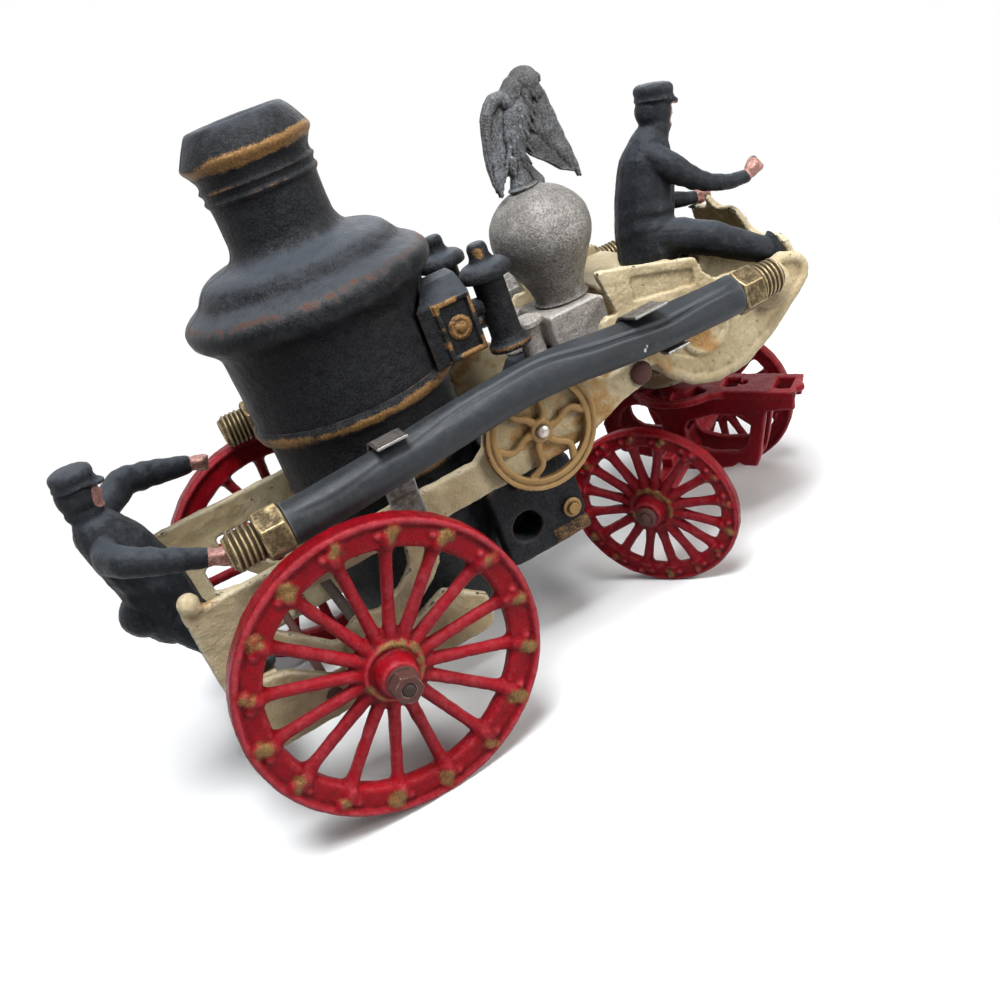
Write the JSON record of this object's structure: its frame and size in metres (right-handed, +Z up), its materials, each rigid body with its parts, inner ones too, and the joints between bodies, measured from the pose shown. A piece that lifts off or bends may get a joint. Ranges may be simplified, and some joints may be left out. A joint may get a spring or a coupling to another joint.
{
  "type": "toy steam fire pumper",
  "caption": "Cast iron toy horse-drawn steam fire pumper with boiler, flywheels, hoses, eagle, driver and rear figure; wheels turn and the front truck steers.",
  "frame": {"origin": "middle of the footprint at ground level", "axes": "+X forward, +Y to the wagon's left, +Z up"},
  "size_m": [0.2774, 0.1576, 0.21],
  "materials": {
    "cream_enamel": "worn cream enamel on cast iron",
    "red_enamel": "worn red enamel on cast iron",
    "black_enamel": "black enamel on cast iron",
    "gold_bronze_paint": "worn gold bronze paint on cast iron",
    "aluminium_paint": "worn aluminium paint on cast iron",
    "brass": "tarnished turned brass",
    "steel": "dull steel with light rust",
    "black_rubber": "matte rubber hose"
  },
  "bodies": {
    "carriage": {"frame_side_right": "cream_enamel", "frame_side_left": "cream_enamel", "rear_platform": "cream_enamel", "platform_tie_rod": "steel", "rear_axle": "steel", "rear_axle_washer_right": "steel", "rear_axle_washer_left": "steel", "rear_axle_nut_right": "steel", "rear_axle_nut_left": "steel", "boiler_half_right": "black_enamel", "boiler_half_left": "black_enamel", "steam_chest_right": "black_enamel", "steam_chest_left": "black_enamel", "steam_cylinder_right": "black_enamel", "steam_cylinder_left": "black_enamel", "water_pump": "black_enamel", "pump_plug_right": "gold_bronze_paint", "pump_plug_left": "gold_bronze_paint", "pump_valve_chamber_right": "black_enamel", "pump_valve_chamber_left": "black_enamel", "pump_head": "aluminium_paint", "pump_barrel_right": "aluminium_paint", "pump_barrel_left": "aluminium_paint", "air_chamber": "aluminium_paint", "eagle_ornament": "aluminium_paint", "flywheel_screw_right": "steel", "flywheel_screw_left": "steel", "front_body_side_right": "cream_enamel", "front_body_side_left": "cream_enamel", "front_body_screw_right": "steel", "front_body_screw_left": "steel", "footboard": "cream_enamel", "bolster": "cream_enamel", "seat_bench": "cream_enamel", "kingpin": "steel", "turntable_washer": "steel", "hose_right": "black_rubber", "hose_left": "black_rubber", "rear_coupling_right": "brass", "rear_coupling_left": "brass", "front_coupling_right": "brass", "front_coupling_left": "brass", "rear_hose_clip_right": "steel", "rear_hose_clip_left": "steel", "front_hose_clip_right": "steel", "front_hose_clip_left": "steel", "driver": "black_enamel", "rear_figure": "black_enamel"},
    "truck": {"truck_frame": "red_enamel", "front_axle": "steel", "front_axle_collar_right": "steel", "front_axle_collar_left": "steel"},
    "front_right_wheel": {"front_wheel_right": "red_enamel"},
    "front_left_wheel": {"front_wheel_left": "red_enamel"},
    "rear_right_wheel": {"rear_wheel_right": "red_enamel"},
    "rear_left_wheel": {"rear_wheel_left": "red_enamel"},
    "right_flywheel": {"flywheel_right": "gold_bronze_paint"},
    "left_flywheel": {"flywheel_left": "gold_bronze_paint"}
  },
  "joints": [
    {"name": "steer", "type": "hinge", "parent": "carriage", "child": "truck", "pos_m": [0.08216, 0, 0.0628], "axis": [0, 0, 1], "range_deg": [-37.13, 142.87]},
    {"name": "front_right_wheel_turn", "type": "hinge", "parent": "truck", "child": "front_right_wheel", "pos_m": [0.04707, -0.02656, 0.0328], "axis": [0.7973, 0.6036, 0], "continuous": true},
    {"name": "front_left_wheel_turn", "type": "hinge", "parent": "truck", "child": "front_left_wheel", "pos_m": [0.11724, 0.02656, 0.0328], "axis": [0.7973, 0.6036, 0], "continuous": true},
    {"name": "rear_right_wheel_turn", "type": "hinge", "parent": "carriage", "child": "rear_right_wheel", "pos_m": [-0.07074, -0.0617, 0.05], "axis": [0, 1, 0], "continuous": true},
    {"name": "rear_left_wheel_turn", "type": "hinge", "parent": "carriage", "child": "rear_left_wheel", "pos_m": [-0.07074, 0.0617, 0.05], "axis": [0, 1, 0], "continuous": true},
    {"name": "right_flywheel_turn", "type": "hinge", "parent": "carriage", "child": "right_flywheel", "pos_m": [0.00886, -0.0429, 0.0889], "axis": [0, 1, 0], "continuous": true},
    {"name": "left_flywheel_turn", "type": "hinge", "parent": "carriage", "child": "left_flywheel", "pos_m": [0.00886, 0.0429, 0.0889], "axis": [0, 1, 0], "continuous": true}
  ]
}
